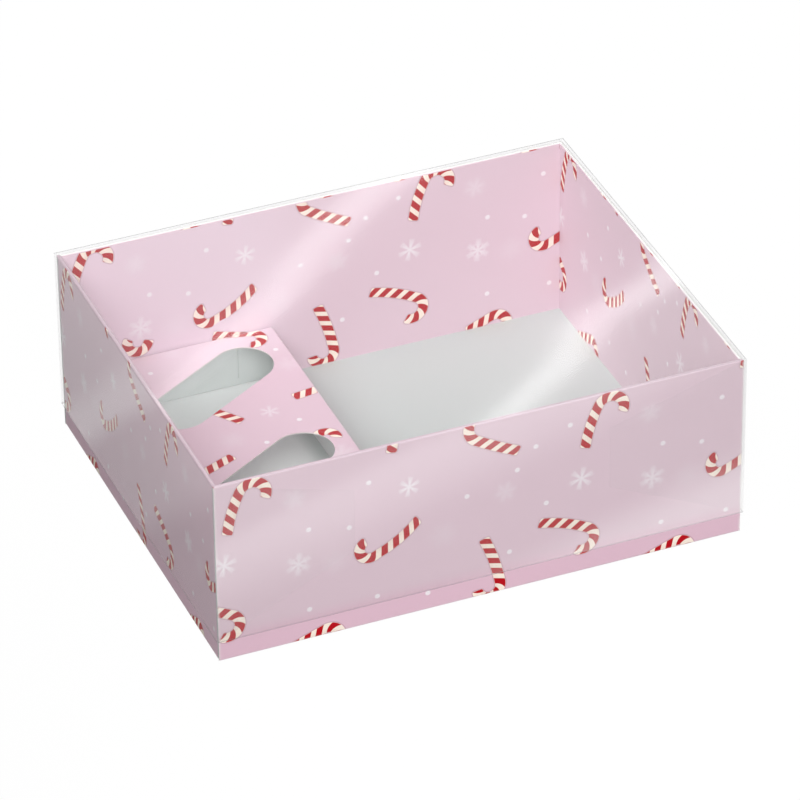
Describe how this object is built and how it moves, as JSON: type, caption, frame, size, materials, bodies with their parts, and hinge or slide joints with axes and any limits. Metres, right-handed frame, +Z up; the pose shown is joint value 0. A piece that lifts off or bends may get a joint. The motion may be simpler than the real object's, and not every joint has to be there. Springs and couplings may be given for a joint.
{
  "type": "sweet box",
  "caption": "Rectangular folded card sweet box with rolled double walls, a slotted step insert and a clear lift-off lid",
  "frame": {"origin": "middle of the underside, on the surface the box stands on", "axes": "+X along the long side towards the deep compartment, +Y to the back, +Z up"},
  "size_m": [0.2, 0.1608, 0.074],
  "materials": {
    "printed_board": "satin",
    "plain_board": "matte",
    "clear_sheet": "gloss"
  },
  "bodies": {
    "tray": {"tray_floor": "plain_board", "tray_front_wall": "printed_board", "tray_front_rim": "printed_board", "tray_front_inner_wall": "printed_board", "tray_back_wall": "printed_board", "tray_back_rim": "printed_board", "tray_back_inner_wall": "printed_board", "tray_left_wall": "printed_board", "tray_left_rim": "printed_board", "tray_left_inner_wall": "printed_board", "tray_right_wall": "printed_board", "tray_right_rim": "printed_board", "tray_right_inner_wall": "printed_board", "tray_front_left_tab": "printed_board", "tray_front_right_tab": "printed_board", "tray_back_left_tab": "printed_board", "tray_back_right_tab": "printed_board"},
    "insert": {"insert_deck": "printed_board", "insert_step_wall": "printed_board", "insert_left_leg": "printed_board", "insert_front_leg": "printed_board", "insert_back_leg": "printed_board", "insert_front_glue_tab": "printed_board", "insert_back_glue_tab": "printed_board"},
    "lid": {"lid_top": "clear_sheet", "lid_front_skirt": "clear_sheet", "lid_back_skirt": "clear_sheet", "lid_left_skirt": "clear_sheet", "lid_right_skirt": "clear_sheet", "lid_front_left_tab": "clear_sheet", "lid_front_right_tab": "clear_sheet", "lid_back_left_tab": "clear_sheet", "lid_back_right_tab": "clear_sheet"}
  },
  "joints": [
    {"name": "lid_lift", "type": "slide", "parent": "tray", "child": "lid", "axis": [0, 0, 1], "range_m": [0, 0.1]},
    {"name": "insert_lift", "type": "slide", "parent": "tray", "child": "insert", "axis": [0, 0, 1], "range_m": [0, 0.05]}
  ]
}
